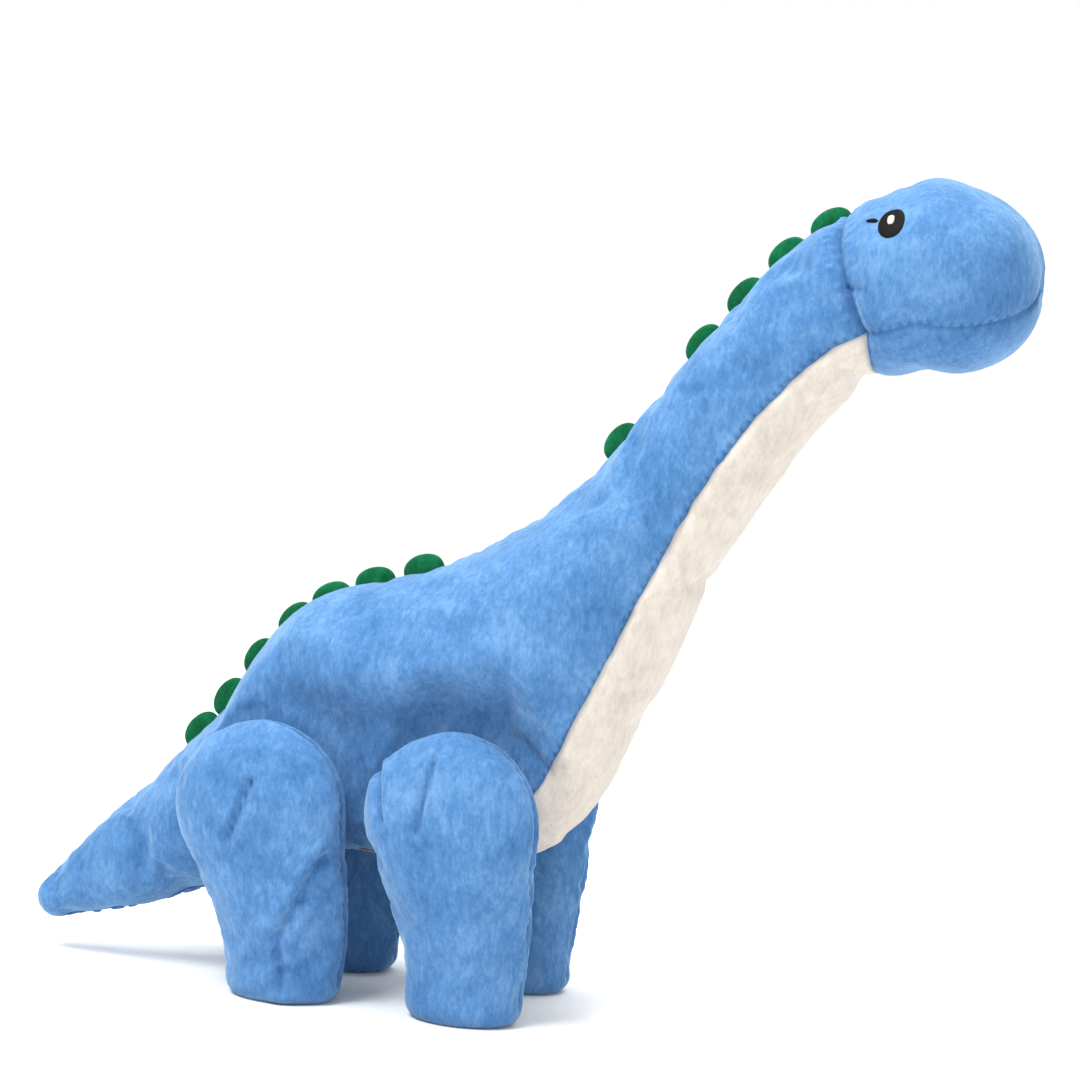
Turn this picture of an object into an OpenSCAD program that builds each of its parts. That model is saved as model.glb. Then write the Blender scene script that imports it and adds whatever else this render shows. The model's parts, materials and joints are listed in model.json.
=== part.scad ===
// Stuffed long-necked dinosaur, standing on four legs and looking along +X.
// Every fabric panel is a shell of its own around a stuffing core. The trunk is one
// row of elliptical sections, cut at the neck, the head and the tail by ball surfaces
// whose centres are the pivots, so that each part turns clear of the next.

/* [Body] */
// Height of the body at its fullest, belly to back
body_h = 128; // [105:1:155]
// Width of the body at its fullest
body_w = 90; // [76:1:110]
// Height of the belly above the floor
belly_lift = 71; // [62:1:86]
// Distance from the fullest section back to the loin
loin_len = 63; // [52:1:76]
// Height of the loin
loin_h = 115; // [96:1:138]
// Distance from the loin back to the rump
rump_len = 46; // [38:1:56]
// Height of the rump
rump_h = 76; // [64:1:92]
// Width of the rump
rump_w = 74; // [64:1:88]
// Distance from the fullest section forward to the chest
chest_len = 51; // [42:1:62]
// Depth of the chest
chest_h = 95; // [80:1:114]
// Width of the chest
chest_w = 82; // [68:1:98]

/* [Neck] */
// Distance from the chest to the root of the neck
shoulder_len = 52; // [43:1:63]
// Length of the neck, root to head seam
neck_len = 131; // [109:1:158]
// Depth of the neck at its root
neck_root_h = 67; // [56:1:80]
// Depth of the neck halfway up
neck_h = 59; // [50:1:71]
// Depth of the neck where the head is sewn on
head_seam_h = 67; // [57:1:78]
// Width of the neck
neck_w = 60; // [50:1:72]

/* [Head] */
// Length of the head, seam to nose
head_len = 72; // [60:1:87]
// Height of the head
head_h = 78; // [70:1:94]
// Width of the head
head_w = 78; // [68:1:94]
// Length of an embroidered eye
eye_len = 13.5; // [9:0.5:16.5]
// Width of an embroidered eye
eye_w = 11; // [7:0.5:13]
// Thickness of the embroidery
thread_t = 0.8; // [0.5:0.1:1.2]

/* [Tail] */
// Distance from the rump back to the root of the tail
haunch_len = 47; // [40:1:57]
// Length of the tail, root to tip
tail_len = 77; // [64:1:93]
// Height of the tail at its root
tail_root_h = 54; // [46:1:65]
// Width of the tail at its root
tail_root_w = 48; // [41:1:58]
// Thickness of the tail near its tip
tail_tip_h = 20; // [14:1:24]

/* [Legs] */
// Distance between the front and the rear hips
hip_gap = 84; // [76:1:100]
// Place of the front hips behind the fullest section
front_hip_back = 3; // [0:1:12]
// Height of the front hips
front_hip_z = 83; // [72:1:94]
// Height of the rear hips
rear_hip_z = 80; // [70:1:90]
// Radius of a front thigh
front_thigh_r = 37; // [31:1:38]
// Radius of a rear thigh
rear_thigh_r = 37; // [31:1:41]
// Length of a foot, heel to toe
foot_len = 50; // [39:1:55]
// How far a front foot stands ahead of its hip
front_foot_ahead = 7; // [0:1:14]
// How far a rear foot stands ahead of its hip
rear_foot_ahead = 11; // [4:1:18]
// Thickness of a leg, inside to outside
leg_t = 37; // [31:1:44]
// Distance from the middle of the body to the inside of a thigh
seat_y = 29; // [25:1:34]
// How far a foot stands in from its thigh
foot_inset = 11; // [4:1:14]

/* [Back spikes] */
// Length of a spike along the back
spike_len = 19; // [14:1:21]
// Height of a spike above the seam
spike_h = 7.5; // [6:0.5:11]
// Thickness of a spike
spike_t = 3; // [2:0.5:4]
// Depth to which the spikes and the eyes are sewn into the fabric
sewn_in = 0.8; // [0.5:0.1:1]

/* [Fabric and fits] */
// Thickness of the plush fabric
fabric_t = 2; // [1.2:0.1:2.6]
// Clearance at each turning ball
turn_gap = 0.7; // [0.6:0.1:1.2]
// Clearance between a flank's pressed seat and the leg that swings over it
seat_gap = 1.7; // [1.2:0.1:3]
// How far each pivot lies inside the seam that it turns
pivot_set = 13; // [10:1:16]
// Width of the flat border around each thigh's seat in the flank
seat_border = 13; // [8:1:18]

/* [Hidden] */

plush_blue = [0.34, 0.58, 0.86];
plush_cream = [0.95, 0.92, 0.87];
felt_green = [0.04, 0.46, 0.24];
fibre_white = [0.96, 0.96, 0.94];
thread_black = [0.06, 0.05, 0.05];

// Facets: parts of a ring under the belly seam, up each flank, and around a leg
BELLY_N = 6;
FLANK_N = 12;
TAIL_N = 12;
LEG_N = 10;

// ---- Sections of the trunk ----
// A section is [x, z, tilt, half height, half width, half angle of the belly panel].
// Tilt is the direction that the section faces, in degrees up from +X.
TAIL_ROOT = 2;
NECK_ROOT = 7;
HEAD_SEAM = 10;
body_tilt = 27;

function walk(p, len, heading) = p + len * [cos(heading), sin(heading)];

body_c = [0, belly_lift + body_h / 2 * cos(body_tilt)];
loin_c = walk(body_c, -loin_len, 15);
rump_c = walk(loin_c, -rump_len, 33);
tail_root_c = walk(rump_c, -haunch_len, 35);
tail_mid_c = walk(tail_root_c, -0.45 * tail_len, 32);
tail_end_c = walk(tail_mid_c, -0.45 * tail_len, 31);
chest_c = walk(body_c, chest_len, 49);
neck_root_c = walk(chest_c, shoulder_len, 56);
neck_mid_c = walk(neck_root_c, 0.43 * neck_len, 57);
neck_top_c = walk(neck_mid_c, 0.36 * neck_len, 51);
head_seam_c = walk(neck_top_c, 0.21 * neck_len, 41);

function section(c, tilt, h, w, belly) = [c.x, c.y, tilt, h / 2, w / 2, belly];

SECTIONS = [
    section(tail_end_c, 31, tail_tip_h, tail_tip_h, 0),
    section(tail_mid_c, 33, 0.55 * (tail_root_h + tail_tip_h), 0.53 * (tail_root_w + tail_tip_h), 0),
    section(tail_root_c, 36, tail_root_h, tail_root_w, 4),
    section(rump_c, 40, rump_h, rump_w, 4),
    section(loin_c, 27, loin_h, (body_w + rump_w) / 2, 5),
    section(body_c, body_tilt, body_h, body_w, 46),
    section(chest_c, 39, chest_h, chest_w, 54),
    section(neck_root_c, 50, neck_root_h, neck_w + 5, 62),
    section(neck_mid_c, 53, neck_h, neck_w, 66),
    section(neck_top_c, 47, neck_h + 1, neck_w - 1, 62),
    section(head_seam_c, 9, head_seam_h, neck_w + 2, 56)
];

// Smooth run through four values, at t between the middle two
function smooth(a, b, c, d, t) =
    b + t / 2 * (c - a + t * (2 * a - 5 * b + 4 * c - d + t * (3 * (b - c) + d - a)));

// The section at place u, counted in sections from the tail's end
function at(u) =
    let (last = len(SECTIONS) - 1, i = min(floor(u), last - 1), t = u - i)
    let (s = [for (k = [-1:2]) SECTIONS[max(0, min(last, i + k))]])
    [for (f = [0:5]) smooth(s[0][f], s[1][f], s[2][f], s[3][f], t)];

// Angles around a section: 0 under the belly, 90 on the right flank, 180 on the back
function ring_angles(belly, belly_n, flank_n) = concat(
    belly_n == 0 ? [] : [for (j = [0:belly_n - 1]) belly * (2 * j / belly_n - 1)],
    [for (j = [0:flank_n - 1]) belly + (180 - belly) * j / flank_n],
    [for (j = [0:flank_n - 1]) 180 + (180 - belly) * j / flank_n]
);
function body_angles(s) = ring_angles(max(4, s[5]), BELLY_N, FLANK_N);
function tail_angles() = ring_angles(0, 0, TAIL_N);

function facing(s) = [cos(s[2]), 0, sin(s[2])];
function spoke(s, angle, inset) =
    let (h = s[3] - inset, w = s[4] - inset)
    [h * cos(angle) * sin(s[2]), -w * sin(angle), -h * cos(angle) * cos(s[2])];
function ring(s, angles, inset) =
    [for (a = angles) [s[0], 0, s[1]] + spoke(s, a, inset)];

// ---- Ball surfaces between the parts ----
// dir is +1 where the ball bulges forward out of its part and -1 where it bulges back
function ball_r(s) = norm([max(s[3], s[4]), pivot_set]);
function pivot(s, dir) = [s[0], 0, s[1]] - dir * pivot_set * facing(s);
function ball_ring(s, angles, inset, dir, gap, share) =
    [for (a = angles)
        let (e = share * spoke(s, a, inset), r = ball_r(s) + gap)
        pivot(s, dir) + e + dir * sqrt(r * r - e * e) * facing(s)];
function ball_pole(s, dir, gap) = pivot(s, dir) + dir * (ball_r(s) + gap) * facing(s);
BALL_SHARES = [0.2, 0.4, 0.6, 0.78, 0.92];
BALL_SHARES_BACK = [for (i = [len(BALL_SHARES) - 1:-1:0]) BALL_SHARES[i]];

// ---- Seats pressed into the flanks by the thighs ----
front_hip_x = -front_hip_back;
rear_hip_x = front_hip_x - hip_gap;
HIPS = [
    [front_hip_x, front_hip_z, front_thigh_r],
    [rear_hip_x, rear_hip_z, rear_thigh_r]
];
function flank_limit(p) = min([for (hip = HIPS)
    seat_y - seat_gap + max(0, norm([p.x - hip[0], p.z - hip[1]]) - hip[2] - seat_border)]);
function press(p, inset) =
    let (limit = flank_limit(p) - inset)
    [p.x, max(-limit, min(limit, p.y)), p.z];
function pressed(points, inset) = [for (p = points) press(p, inset)];

// ---- Solids from rows of points ----
function flat(rows) = [for (row = rows) for (p = row) p];
function sums(counts, i = 0, total = 0) =
    i == len(counts) ? [] : concat([total], sums(counts, i + 1, total + counts[i]));

// Closed solid from rings of n points between two poles
module core(first_pole, rings, last_pole) {
    n = len(rings[0]);
    m = len(rings);
    last = 1 + m * n;
    polyhedron(
        points = concat([first_pole], flat(rings), [last_pole]),
        faces = concat(
            [for (j = [0:n - 1]) [0, 1 + (j + 1) % n, 1 + j]],
            [for (i = [0:m - 2]) for (j = [0:n - 1]) for (half = [0, 1])
                let (a = 1 + i * n + j, b = 1 + i * n + (j + 1) % n)
                half == 0 ? [a, b + n, a + n] : [a, b, b + n]],
            [for (j = [0:n - 1]) [last, last - n + j, last - n + (j + 1) % n]]
        )
    );
}

// Closed sheet between outer rows and inner rows. A row of one point is a pole.
module sheet(outer, inner) {
    m = len(outer);
    counts = [for (row = outer) len(row)];
    starts = sums(counts);
    q = max(counts);
    base = len(flat(outer));
    function at_row(i, j) = starts[i] + min(j, counts[i] - 1);
    faces = concat(
        [for (i = [0:m - 2]) for (j = [0:q - 2]) if (counts[i] > 1)
            [at_row(i, j), at_row(i, j + 1), at_row(i + 1, j + 1)]],
        [for (i = [0:m - 2]) for (j = [0:q - 2]) if (counts[i + 1] > 1)
            [at_row(i, j), at_row(i + 1, j + 1), at_row(i + 1, j)]]
    );
    first_edge = [for (i = [m - 1:-1:0]) at_row(i, 0)];
    last_edge = [for (i = [0:m - 1]) at_row(i, q - 1)];
    start_edge = counts[0] > 1 ? [for (j = [0:q - 1]) at_row(0, j)] : [];
    end_edge = counts[m - 1] > 1 ? [for (j = [q - 1:-1:0]) at_row(m - 1, j)] : [];
    // The walls on both sides of a seam are cut along the same diagonals
    function wall(edge) = len(edge) < 2 ? [] :
        [for (k = [0:len(edge) - 2]) for (half = [0, 1])
            let (a = edge[k], b = edge[k + 1])
            half == 0 ? [a, b + base, b] : [a, a + base, b + base]];
    function wall_back(edge) = len(edge) < 2 ? [] :
        [for (k = [0:len(edge) - 2]) for (half = [0, 1])
            let (a = edge[k], b = edge[k + 1])
            half == 0 ? [a, a + base, b] : [b, a + base, b + base]];
    polyhedron(
        points = concat(flat(outer), flat(inner)),
        faces = concat(
            faces,
            [for (f = faces) [f[2] + base, f[1] + base, f[0] + base]],
            wall_back(first_edge), wall(last_edge), wall(start_edge), wall(end_edge)
        )
    );
}

// The points of each row from place first to place last, counted around the ring
function part_rows(rows, first, last) =
    [for (row = rows) len(row) == 1 ? row : [for (j = [first:last]) row[j % len(row)]]];
module panel(outer, inner, first, last) {
    sheet(part_rows(outer, first, last), part_rows(inner, first, last));
}
BELLY = [0, BELLY_N];
RIGHT = [BELLY_N, BELLY_N + FLANK_N];
LEFT = [BELLY_N + FLANK_N, BELLY_N + 2 * FLANK_N];

// ---- Torso ----
TORSO_U = [for (i = [1:13]) TAIL_ROOT + (NECK_ROOT - TAIL_ROOT) * i / 14];
tail_cut = at(TAIL_ROOT);
neck_cut = at(NECK_ROOT);
head_cut = at(HEAD_SEAM);
function torso_rows(inset) = concat(
    [ball_ring(tail_cut, body_angles(tail_cut), inset, -1, 0, 1)],
    [for (u = TORSO_U) pressed(ring(at(u), body_angles(at(u)), inset), inset)],
    [ball_ring(neck_cut, body_angles(neck_cut), inset, 1, 0, 1)]
);
module torso_core() {
    core(
        ball_pole(tail_cut, -1, 0),
        concat(
            [for (k = BALL_SHARES) ball_ring(tail_cut, body_angles(tail_cut), fabric_t, -1, 0, k)],
            torso_rows(fabric_t),
            [for (k = BALL_SHARES_BACK)
                ball_ring(neck_cut, body_angles(neck_cut), fabric_t, 1, 0, k)]
        ),
        ball_pole(neck_cut, 1, 0)
    );
}
module torso_panel(part) {
    panel(torso_rows(0), torso_rows(fabric_t), part[0], part[1]);
}

// ---- Neck ----
// Close behind the head the neck stays inside the ball on which the head turns
tuck_reach = 0.5;           // how far from the ball's centre, in ball radii
function tucked(s, angles, inset) =
    [for (a = angles)
        let (
            e = spoke(s, a, inset),
            q = [s[0], 0, s[1]] - pivot(head_cut, 1),
            reach = ball_r(head_cut) - inset + max(0, -(q + e) * facing(head_cut)),
            root = pow(q * e, 2) + e * e * (reach * reach - q * q),
            close = norm(q) < tuck_reach * ball_r(head_cut)
        )
        [s[0], 0, s[1]] + (close ? min(1, (sqrt(root) - q * e) / (e * e)) : 1) * e];
NECK_U = [for (i = [1:9]) NECK_ROOT + (HEAD_SEAM - NECK_ROOT) * i / 10];
function neck_rows(inset) = concat(
    [ball_ring(neck_cut, body_angles(neck_cut), inset, 1, turn_gap, 1)],
    [for (u = NECK_U) tucked(at(u), body_angles(at(u)), inset)],
    [ball_ring(head_cut, body_angles(head_cut), inset, 1, 0, 1)]
);
module neck_core() {
    core(
        ball_pole(neck_cut, 1, turn_gap),
        concat(
            [for (k = BALL_SHARES)
                ball_ring(neck_cut, body_angles(neck_cut), fabric_t, 1, turn_gap, k)],
            neck_rows(fabric_t),
            [for (k = BALL_SHARES_BACK)
                ball_ring(head_cut, body_angles(head_cut), fabric_t, 1, 0, k)]
        ),
        ball_pole(head_cut, 1, 0)
    );
}
module neck_panel(part) {
    panel(neck_rows(0), neck_rows(fabric_t), part[0], part[1]);
}

// ---- Head ----
// Behind its widest section the head swells from the seam; in front it is a
// rounded snout that follows a power curve of this squareness
snout_power = 2.25;
brow_len = 0.34 * head_len;
snout_len = head_len - brow_len;
chin_angle = 58;
brow_rise = 7.5;
snout_drop = 2;
brow_c = [head_cut[0] + brow_len, head_cut[1] + brow_rise];
function snout_share(angle) = pow(sin(angle), 2 / snout_power);
function head_section(u) =
    // u runs from 0 at the seam to 1 at the widest section
    let (full = section(brow_c, 0, head_h, head_w, chin_angle), k = sin(90 * u))
    [for (f = [0:5]) f < 2 ? head_cut[f] + (full[f] - head_cut[f]) * u
        : head_cut[f] + (full[f] - head_cut[f]) * k];
function snout_ring(angle, inset) =
    let (k = snout_share(90 - angle))
    [for (a = ring_angles(chin_angle, BELLY_N, FLANK_N))
        [
            brow_c.x + (snout_len - inset) * snout_share(angle),
            -(head_w / 2 - inset) * k * sin(a),
            brow_c.y - snout_drop * snout_share(angle) - (head_h / 2 - inset) * k * cos(a)
        ]];
function nose(inset) = [brow_c.x + snout_len - inset, 0, brow_c.y - snout_drop];
function head_rows(inset) = concat(
    [ball_ring(head_cut, body_angles(head_cut), inset, 1, turn_gap, 1)],
    [for (u = [0.3, 0.55, 0.78])
        ring(head_section(u), body_angles(head_section(u)), inset)],
    [for (angle = [0, 16, 32, 48, 63, 76]) snout_ring(angle, inset)]
);
module head_core() {
    core(
        ball_pole(head_cut, 1, turn_gap),
        concat(
            [for (k = BALL_SHARES)
                ball_ring(head_cut, body_angles(head_cut), fabric_t, 1, turn_gap, k)],
            head_rows(fabric_t)
        ),
        nose(fabric_t)
    );
}
module head_panel(part) {
    panel(
        concat(head_rows(0), [[nose(0)]]),
        concat(head_rows(fabric_t), [[nose(fabric_t)]]),
        part[0], part[1]
    );
}

// ---- Tail ----
TAIL_U = [for (i = [5:-1:0]) TAIL_ROOT * i / 6];
tail_end = at(0);
tail_end_place = [tail_end[0], tail_end[1], tail_end[2]];
function tail_tip_ring(angle, inset) =
    let (r = tail_tip_h / 2 - inset, reach = r * cos(angle))
    [for (p = ring(concat(tail_end_place, [reach, reach, 0]), tail_angles(), 0))
        p - r * sin(angle) * facing(tail_end)];
function tail_tip(inset) =
    [tail_end[0], 0, tail_end[1]] - (tail_tip_h / 2 - inset) * facing(tail_end);
function tail_rows(inset) = concat(
    [for (angle = [65, 35]) tail_tip_ring(angle, inset)],
    [for (i = [len(TAIL_U) - 1:-1:0]) ring(at(TAIL_U[i]), tail_angles(), inset)],
    [ball_ring(tail_cut, tail_angles(), inset, -1, turn_gap, 1)]
);
module tail_core() {
    core(
        tail_tip(fabric_t),
        concat(
            tail_rows(fabric_t),
            [for (k = BALL_SHARES_BACK)
                ball_ring(tail_cut, tail_angles(), fabric_t, -1, turn_gap, k)]
        ),
        ball_pole(tail_cut, -1, turn_gap)
    );
}
module tail_panel(first, last) {
    panel(
        concat([[tail_tip(0)]], tail_rows(0)),
        concat([[tail_tip(fabric_t)]], tail_rows(fabric_t)),
        first, last
    );
}

// ---- Legs ----
// Rows from the floor up to the hip: [share of the hip's height, share of the foot's
// inset, share of the leg's thickness, share of the way from thigh to foot length in a
// front leg, the same in a rear leg]
LEG_ROWS = [
    [0, 1, 0.84, 1, 1],
    [0.04, 1, 0.96, 1, 1],
    [0.12, 1, 1, 1, 0.96],
    [0.3, 0.94, 1, 0.88, 0.78],
    [0.48, 0.72, 1, 0.64, 0.54],
    [0.66, 0.42, 1, 0.38, 0.3],
    [0.83, 0.14, 1, 0.16, 0.1],
    [1, 0, 1, 0, 0]
];
HIP_X = 0;
HIP_Z = 1;
THIGH_R = 2;
AHEAD = 3;
SHAPE = 4;
FRONT = concat(HIPS[0], [front_foot_ahead, 3]);
REAR = concat(HIPS[1], [rear_foot_ahead, 4]);
thigh_angles = [18, 36, 52, 66, 78];
function leg_x(hip, row) = hip[HIP_X] + hip[AHEAD] * row[1];
function leg_y(row) = seat_y + leg_t / 2 - foot_inset * row[1];
function leg_point(x, y, z, a, b, angle) = [x + a * cos(angle), y + b * sin(angle), z];
function leg_ring(hip, row, inset) =
    let (
        r = hip[THIGH_R],
        a = (r + (foot_len / 2 - r) * row[hip[SHAPE]]) * row[2] - inset,
        b = leg_t / 2 * row[2] - inset,
        lift = max(0, inset * (1 - row[0] / 0.12))
    )
    [for (j = [0:2 * LEG_N - 1])
        leg_point(leg_x(hip, row), leg_y(row), hip[HIP_Z] * row[0] + lift, a, b,
            -180 * j / LEG_N)];
function thigh_ring(hip, angle, inset) =
    let (r = hip[2] - inset, b = leg_t / 2 - inset)
    [for (j = [0:2 * LEG_N - 1])
        leg_point(hip[0], seat_y + leg_t / 2, hip[1] + r * sin(angle),
            r * cos(angle), b * cos(angle), -180 * j / LEG_N)];
function leg_rows(hip, inset) = concat(
    [for (row = LEG_ROWS) leg_ring(hip, row, inset)],
    [for (angle = thigh_angles) thigh_ring(hip, angle, inset)]
);
function sole_centre(hip, inset) = [leg_x(hip, LEG_ROWS[0]), leg_y(LEG_ROWS[0]), inset];
function thigh_top(hip, inset) = [hip[0], seat_y + leg_t / 2, hip[1] + hip[2] - inset];
module leg_core(hip) {
    core(sole_centre(hip, fabric_t), leg_rows(hip, fabric_t), thigh_top(hip, fabric_t));
}
module leg_panel(hip, first, last) {
    panel(
        concat([[sole_centre(hip, 0)]], leg_rows(hip, 0), [[thigh_top(hip, 0)]]),
        concat([[sole_centre(hip, fabric_t)]], leg_rows(hip, fabric_t), [[thigh_top(hip, fabric_t)]]),
        first, last
    );
}
module on_side(side) {
    if (side > 0) children();
    else mirror([0, 1, 0]) children();
}
ON_LEFT = 1;
ON_RIGHT = -1;

// ---- Eyes ----
// Each piece of an eye lies on the plane that touches the head at its own place
eye_u = 0.62;
eye_angle = 126;
eye_lean = -4;
lash_u = 0.3;
lash_angle = 134;
lash_lean = 24;
function unit(v) = v / norm(v);
function head_point(u, angle) =
    let (s = head_section(u)) [s[0], 0, s[1]] + spoke(s, -angle, 0);
function oval(len, wid) = [for (a = [0:15:345]) [wid / 2 * cos(a), len / 2 * sin(a)]];
module on_head(u, angle, lean) {
    p = head_point(u, angle);
    ahead = head_point(u + 0.1, angle) - head_point(u - 0.1, angle);
    up = unit(head_point(u, angle + 2) - head_point(u, angle - 2));
    out = unit(cross(up, ahead));
    side = cross(up, out);
    multmatrix([
        [side.x, up.x, out.x, p.x],
        [side.y, up.y, out.y, p.y],
        [side.z, up.z, out.z, p.z]
    ]) rotate([0, 0, lean]) children();
}
module stitched(height) {
    translate([0, 0, -sewn_in]) linear_extrude(height + sewn_in) children();
}
module eye_pupil() {
    on_head(eye_u, eye_angle, eye_lean) stitched(thread_t) polygon(oval(eye_len, eye_w));
}
module eye_highlight() {
    on_head(eye_u, eye_angle, eye_lean) translate([0, eye_len * 0.08, thread_t])
        linear_extrude(thread_t / 2) polygon(oval(eye_len * 0.33, eye_w * 0.3));
}
module eye_lash() {
    on_head(lash_u, lash_angle, lash_lean)
        stitched(thread_t) polygon(oval(1.6, eye_w * 0.32));
}

// ---- Spikes ----
// Places of the spikes along the spine, counted in sections like u
NECK_SPIKES = [9.71, 9.27, 8.8, 8.28, 7.28];
BACK_SPIKES = [4.86, 4.48, 4.15, 3.84, 3.46, 3.06, 2.66];
function spine_top(u) = let (s = at(u)) [s[0], s[1]] + s[3] * [-sin(s[2]), cos(s[2])];

// A spike is a scallop whose foot follows the straight stretches between the rings
module spike(u, cut_a, rings_u, cut_b) {
    ring_u = concat([cut_a], rings_u, [cut_b]);
    function ridge(v) = [for (f = [0, 1]) lookup(v, [for (r = ring_u) [r, spine_top(r)[f]]])];
    pace = norm(spine_top(u + 0.05) - spine_top(u - 0.05)) / 0.1;
    reach = spike_len / 2 / pace;
    start = ridge(u - reach);
    end = ridge(u + reach);
    run = unit(end - start);
    foot = [for (r = ring_u) if (r > u - reach + 0.01 && r < u + reach - 0.01) ridge(r)];
    rise = [-run.y, run.x];
    crown = [for (a = [12:12:168])
        (start + end) / 2 + spike_len / 2 * cos(a) * run + spike_h * pow(sin(a), 0.85) * rise];
    rotate([90, 0, 0]) linear_extrude(spike_t, center = true) polygon(concat(
        [for (p = concat([start], foot, [end])) p - sewn_in * rise],
        crown
    ));
}
module neck_spike(i) {
    placed(felt_green) spike(NECK_SPIKES[i], NECK_ROOT, NECK_U, HEAD_SEAM);
}
module back_spike(i) {
    placed(felt_green) spike(BACK_SPIKES[i], TAIL_ROOT, TORSO_U, NECK_ROOT);
}

// ---- Centring: the middle of the whole length lies over the origin ----
nose_x = nose(0).x;
tail_x = min([for (p = flat(tail_rows(0))) p.x]);
module placed(colour) {
    color(colour) translate([-(nose_x + min(tail_x, tail_tip(0).x)) / 2, 0, 0]) children();
}

module torso_stuffing() { placed(fibre_white) torso_core(); }
module torso_right_panel() { placed(plush_blue) torso_panel(RIGHT); }
module torso_left_panel() { placed(plush_blue) torso_panel(LEFT); }
module belly_panel() { placed(plush_cream) torso_panel(BELLY); }
module neck_stuffing() { placed(fibre_white) neck_core(); }
module neck_right_panel() { placed(plush_blue) neck_panel(RIGHT); }
module neck_left_panel() { placed(plush_blue) neck_panel(LEFT); }
module throat_panel() { placed(plush_cream) neck_panel(BELLY); }
module head_stuffing() { placed(fibre_white) head_core(); }
module head_right_panel() { placed(plush_blue) head_panel(RIGHT); }
module head_left_panel() { placed(plush_blue) head_panel(LEFT); }
module chin_panel() { placed(plush_blue) head_panel(BELLY); }
module tail_stuffing() { placed(fibre_white) tail_core(); }
module tail_right_panel() { placed(plush_blue) tail_panel(0, TAIL_N); }
module tail_left_panel() { placed(plush_blue) tail_panel(TAIL_N, 2 * TAIL_N); }

module eye_on(side, colour) { placed(colour) on_side(side) children(); }
module leg_stuffing(hip, side) { placed(fibre_white) on_side(side) leg_core(hip); }
module leg_outer_panel(hip, side) {
    placed(plush_blue) on_side(side) leg_panel(hip, LEG_N, 2 * LEG_N);
}
module leg_inner_panel(hip, side) {
    placed(plush_blue) on_side(side) leg_panel(hip, 0, LEG_N);
}

torso_stuffing();
torso_right_panel();
torso_left_panel();
belly_panel();
neck_stuffing();
neck_right_panel();
neck_left_panel();
throat_panel();
head_stuffing();
head_right_panel();
head_left_panel();
chin_panel();
tail_stuffing();
tail_right_panel();
tail_left_panel();
leg_stuffing(FRONT, ON_RIGHT);  // front_right_leg_stuffing
leg_outer_panel(FRONT, ON_RIGHT);  // front_right_leg_outer_panel
leg_inner_panel(FRONT, ON_RIGHT);  // front_right_leg_inner_panel
leg_stuffing(FRONT, ON_LEFT);  // front_left_leg_stuffing
leg_outer_panel(FRONT, ON_LEFT);  // front_left_leg_outer_panel
leg_inner_panel(FRONT, ON_LEFT);  // front_left_leg_inner_panel
leg_stuffing(REAR, ON_RIGHT);  // rear_right_leg_stuffing
leg_outer_panel(REAR, ON_RIGHT);  // rear_right_leg_outer_panel
leg_inner_panel(REAR, ON_RIGHT);  // rear_right_leg_inner_panel
leg_stuffing(REAR, ON_LEFT);  // rear_left_leg_stuffing
leg_outer_panel(REAR, ON_LEFT);  // rear_left_leg_outer_panel
leg_inner_panel(REAR, ON_LEFT);  // rear_left_leg_inner_panel
eye_on(ON_RIGHT, thread_black) eye_pupil();  // right_eye_pupil
eye_on(ON_RIGHT, fibre_white) eye_highlight();  // right_eye_highlight
eye_on(ON_RIGHT, thread_black) eye_lash();  // right_eye_lash
eye_on(ON_LEFT, thread_black) eye_pupil();  // left_eye_pupil
eye_on(ON_LEFT, fibre_white) eye_highlight();  // left_eye_highlight
eye_on(ON_LEFT, thread_black) eye_lash();  // left_eye_lash
neck_spike(0);  // spike_01
neck_spike(1);  // spike_02
neck_spike(2);  // spike_03
neck_spike(3);  // spike_04
neck_spike(4);  // spike_05
back_spike(0);  // spike_06
back_spike(1);  // spike_07
back_spike(2);  // spike_08
back_spike(3);  // spike_09
back_spike(4);  // spike_10
back_spike(5);  // spike_11
back_spike(6);  // spike_12
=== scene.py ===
"""Looks of the stuffed long-necked dinosaur: skins, seams, spikes and eyes over the fixed frame.

The outer rings of the trunk and the legs are read from their CAD meshes, splined, inflated
as cloth under pressure and then carved with seams. Spikes and eyes take their places from
their CAD solids.
"""
import json
import math

import bpy
import numpy as np
from mathutils import Matrix, Vector, noise
from mathutils.bvhtree import BVHTree


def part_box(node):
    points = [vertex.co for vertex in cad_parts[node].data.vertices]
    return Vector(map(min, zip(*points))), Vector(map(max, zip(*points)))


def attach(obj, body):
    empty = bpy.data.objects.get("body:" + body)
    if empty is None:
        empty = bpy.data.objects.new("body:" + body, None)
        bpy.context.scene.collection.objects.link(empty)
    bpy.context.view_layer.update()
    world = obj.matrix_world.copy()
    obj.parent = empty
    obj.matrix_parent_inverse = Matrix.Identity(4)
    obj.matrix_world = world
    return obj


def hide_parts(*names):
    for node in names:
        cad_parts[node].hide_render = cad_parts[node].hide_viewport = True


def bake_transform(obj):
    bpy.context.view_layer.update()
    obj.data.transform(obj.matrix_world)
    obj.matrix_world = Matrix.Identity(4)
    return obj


MM = 0.001
TRUNK_COLUMNS = 30  # points in a ring of the torso, neck or head
TAIL_COLUMNS = 24
LEG_COLUMNS = 20
FLANK_POINTS = 11  # points of a flank between its two seams
CLOTH_CELL = 4.2 * MM
CLOTH_PARTS = 2  # cloth columns in each CAD column
CLOTH_PRESSURE = 8.0
CLOTH_SLACK = 0.012  # share by which the fabric is cut large
CLOTH_FRAMES = 20
MOST_MOVED = 4.5 * MM  # cap on what the cloth may move a point
TRUNK_CELL = 1.1 * MM
LEG_CELL = 1.3 * MM
LEG_PARTS = 6
STITCH_PITCH = 4 * MM
SPIKE_HEIGHT = 0.86  # of the CAD spike's height
EYE_TALL = 14.5 * MM
EYE_WIDE = 12 * MM
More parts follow.
